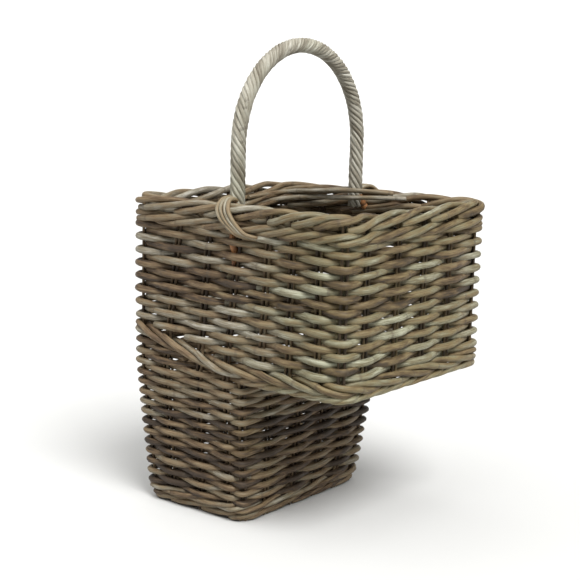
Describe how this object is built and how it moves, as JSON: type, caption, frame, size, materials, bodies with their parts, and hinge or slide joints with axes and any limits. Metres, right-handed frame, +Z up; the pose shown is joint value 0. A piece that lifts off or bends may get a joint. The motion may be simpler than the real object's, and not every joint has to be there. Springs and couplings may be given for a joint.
{
  "type": "stair basket",
  "caption": "Woven cane stair basket: wide upper box over a narrower leg that stands one stair lower, with a fixed roped bow handle across.",
  "frame": {"origin": "on the floor below the middle of the upper box, the bottom centre of the whole object's box", "axes": "+Z up, +X along the staircase towards the overhang, Y across the staircase; the leg is under the -X half"},
  "size_m": [0.3522, 0.3276, 0.6127],
  "materials": {
    "weaver_cane": "matt weathered grey-brown round cane",
    "stake_cane": "matt weathered grey-brown round cane",
    "border_cane": "matt weathered grey-brown round cane, thicker",
    "roping_cane": "satin light grey round cane",
    "bow_cane": "satin orange-brown cane"
  },
  "bodies": {
    "root": {"back_leg_stakes": "stake_cane", "back_overhang_stakes": "stake_cane", "back_weave": "weaver_cane", "far_lashing": "roping_cane", "front_leg_stakes": "stake_cane", "front_overhang_stakes": "stake_cane", "front_weave": "weaver_cane", "handle_bow": "bow_cane", "handle_roping_crown": "roping_cane", "handle_roping_far": "roping_cane", "handle_roping_near": "roping_cane", "inner_corner_stakes": "stake_cane", "leg_back_weave": "weaver_cane", "leg_base_sticks": "stake_cane", "leg_base_weave": "weaver_cane", "leg_foot_border_back": "border_cane", "leg_foot_border_front": "border_cane", "leg_foot_border_inner": "border_cane", "leg_foot_border_outer_end": "border_cane", "leg_foot_wale": "border_cane", "leg_front_weave": "weaver_cane", "leg_inner_stakes": "stake_cane", "leg_inner_weave": "weaver_cane", "leg_outer_end_weave": "weaver_cane", "near_lashing": "roping_cane", "outer_corner_stakes": "stake_cane", "outer_end_stakes": "stake_cane", "outer_end_weave": "weaver_cane", "overhang_corner_stakes": "stake_cane", "overhang_end_stakes": "stake_cane", "overhang_end_weave": "weaver_cane", "rim_border_back": "border_cane", "rim_border_front": "border_cane", "rim_border_outer_end": "border_cane", "rim_border_overhang_end": "border_cane", "rim_wale_back": "border_cane", "rim_wale_front": "border_cane", "rim_wale_outer_end": "border_cane", "rim_wale_overhang_end": "border_cane", "shelf_border_back": "border_cane", "shelf_border_front": "border_cane", "shelf_border_overhang_end": "border_cane", "shelf_sticks": "stake_cane", "shelf_weave": "weaver_cane", "step_edge": "border_cane", "step_wale_back": "border_cane", "step_wale_front": "border_cane", "step_wale_outer_end": "border_cane", "step_wale_overhang_end": "border_cane"}
  },
  "joints": []
}
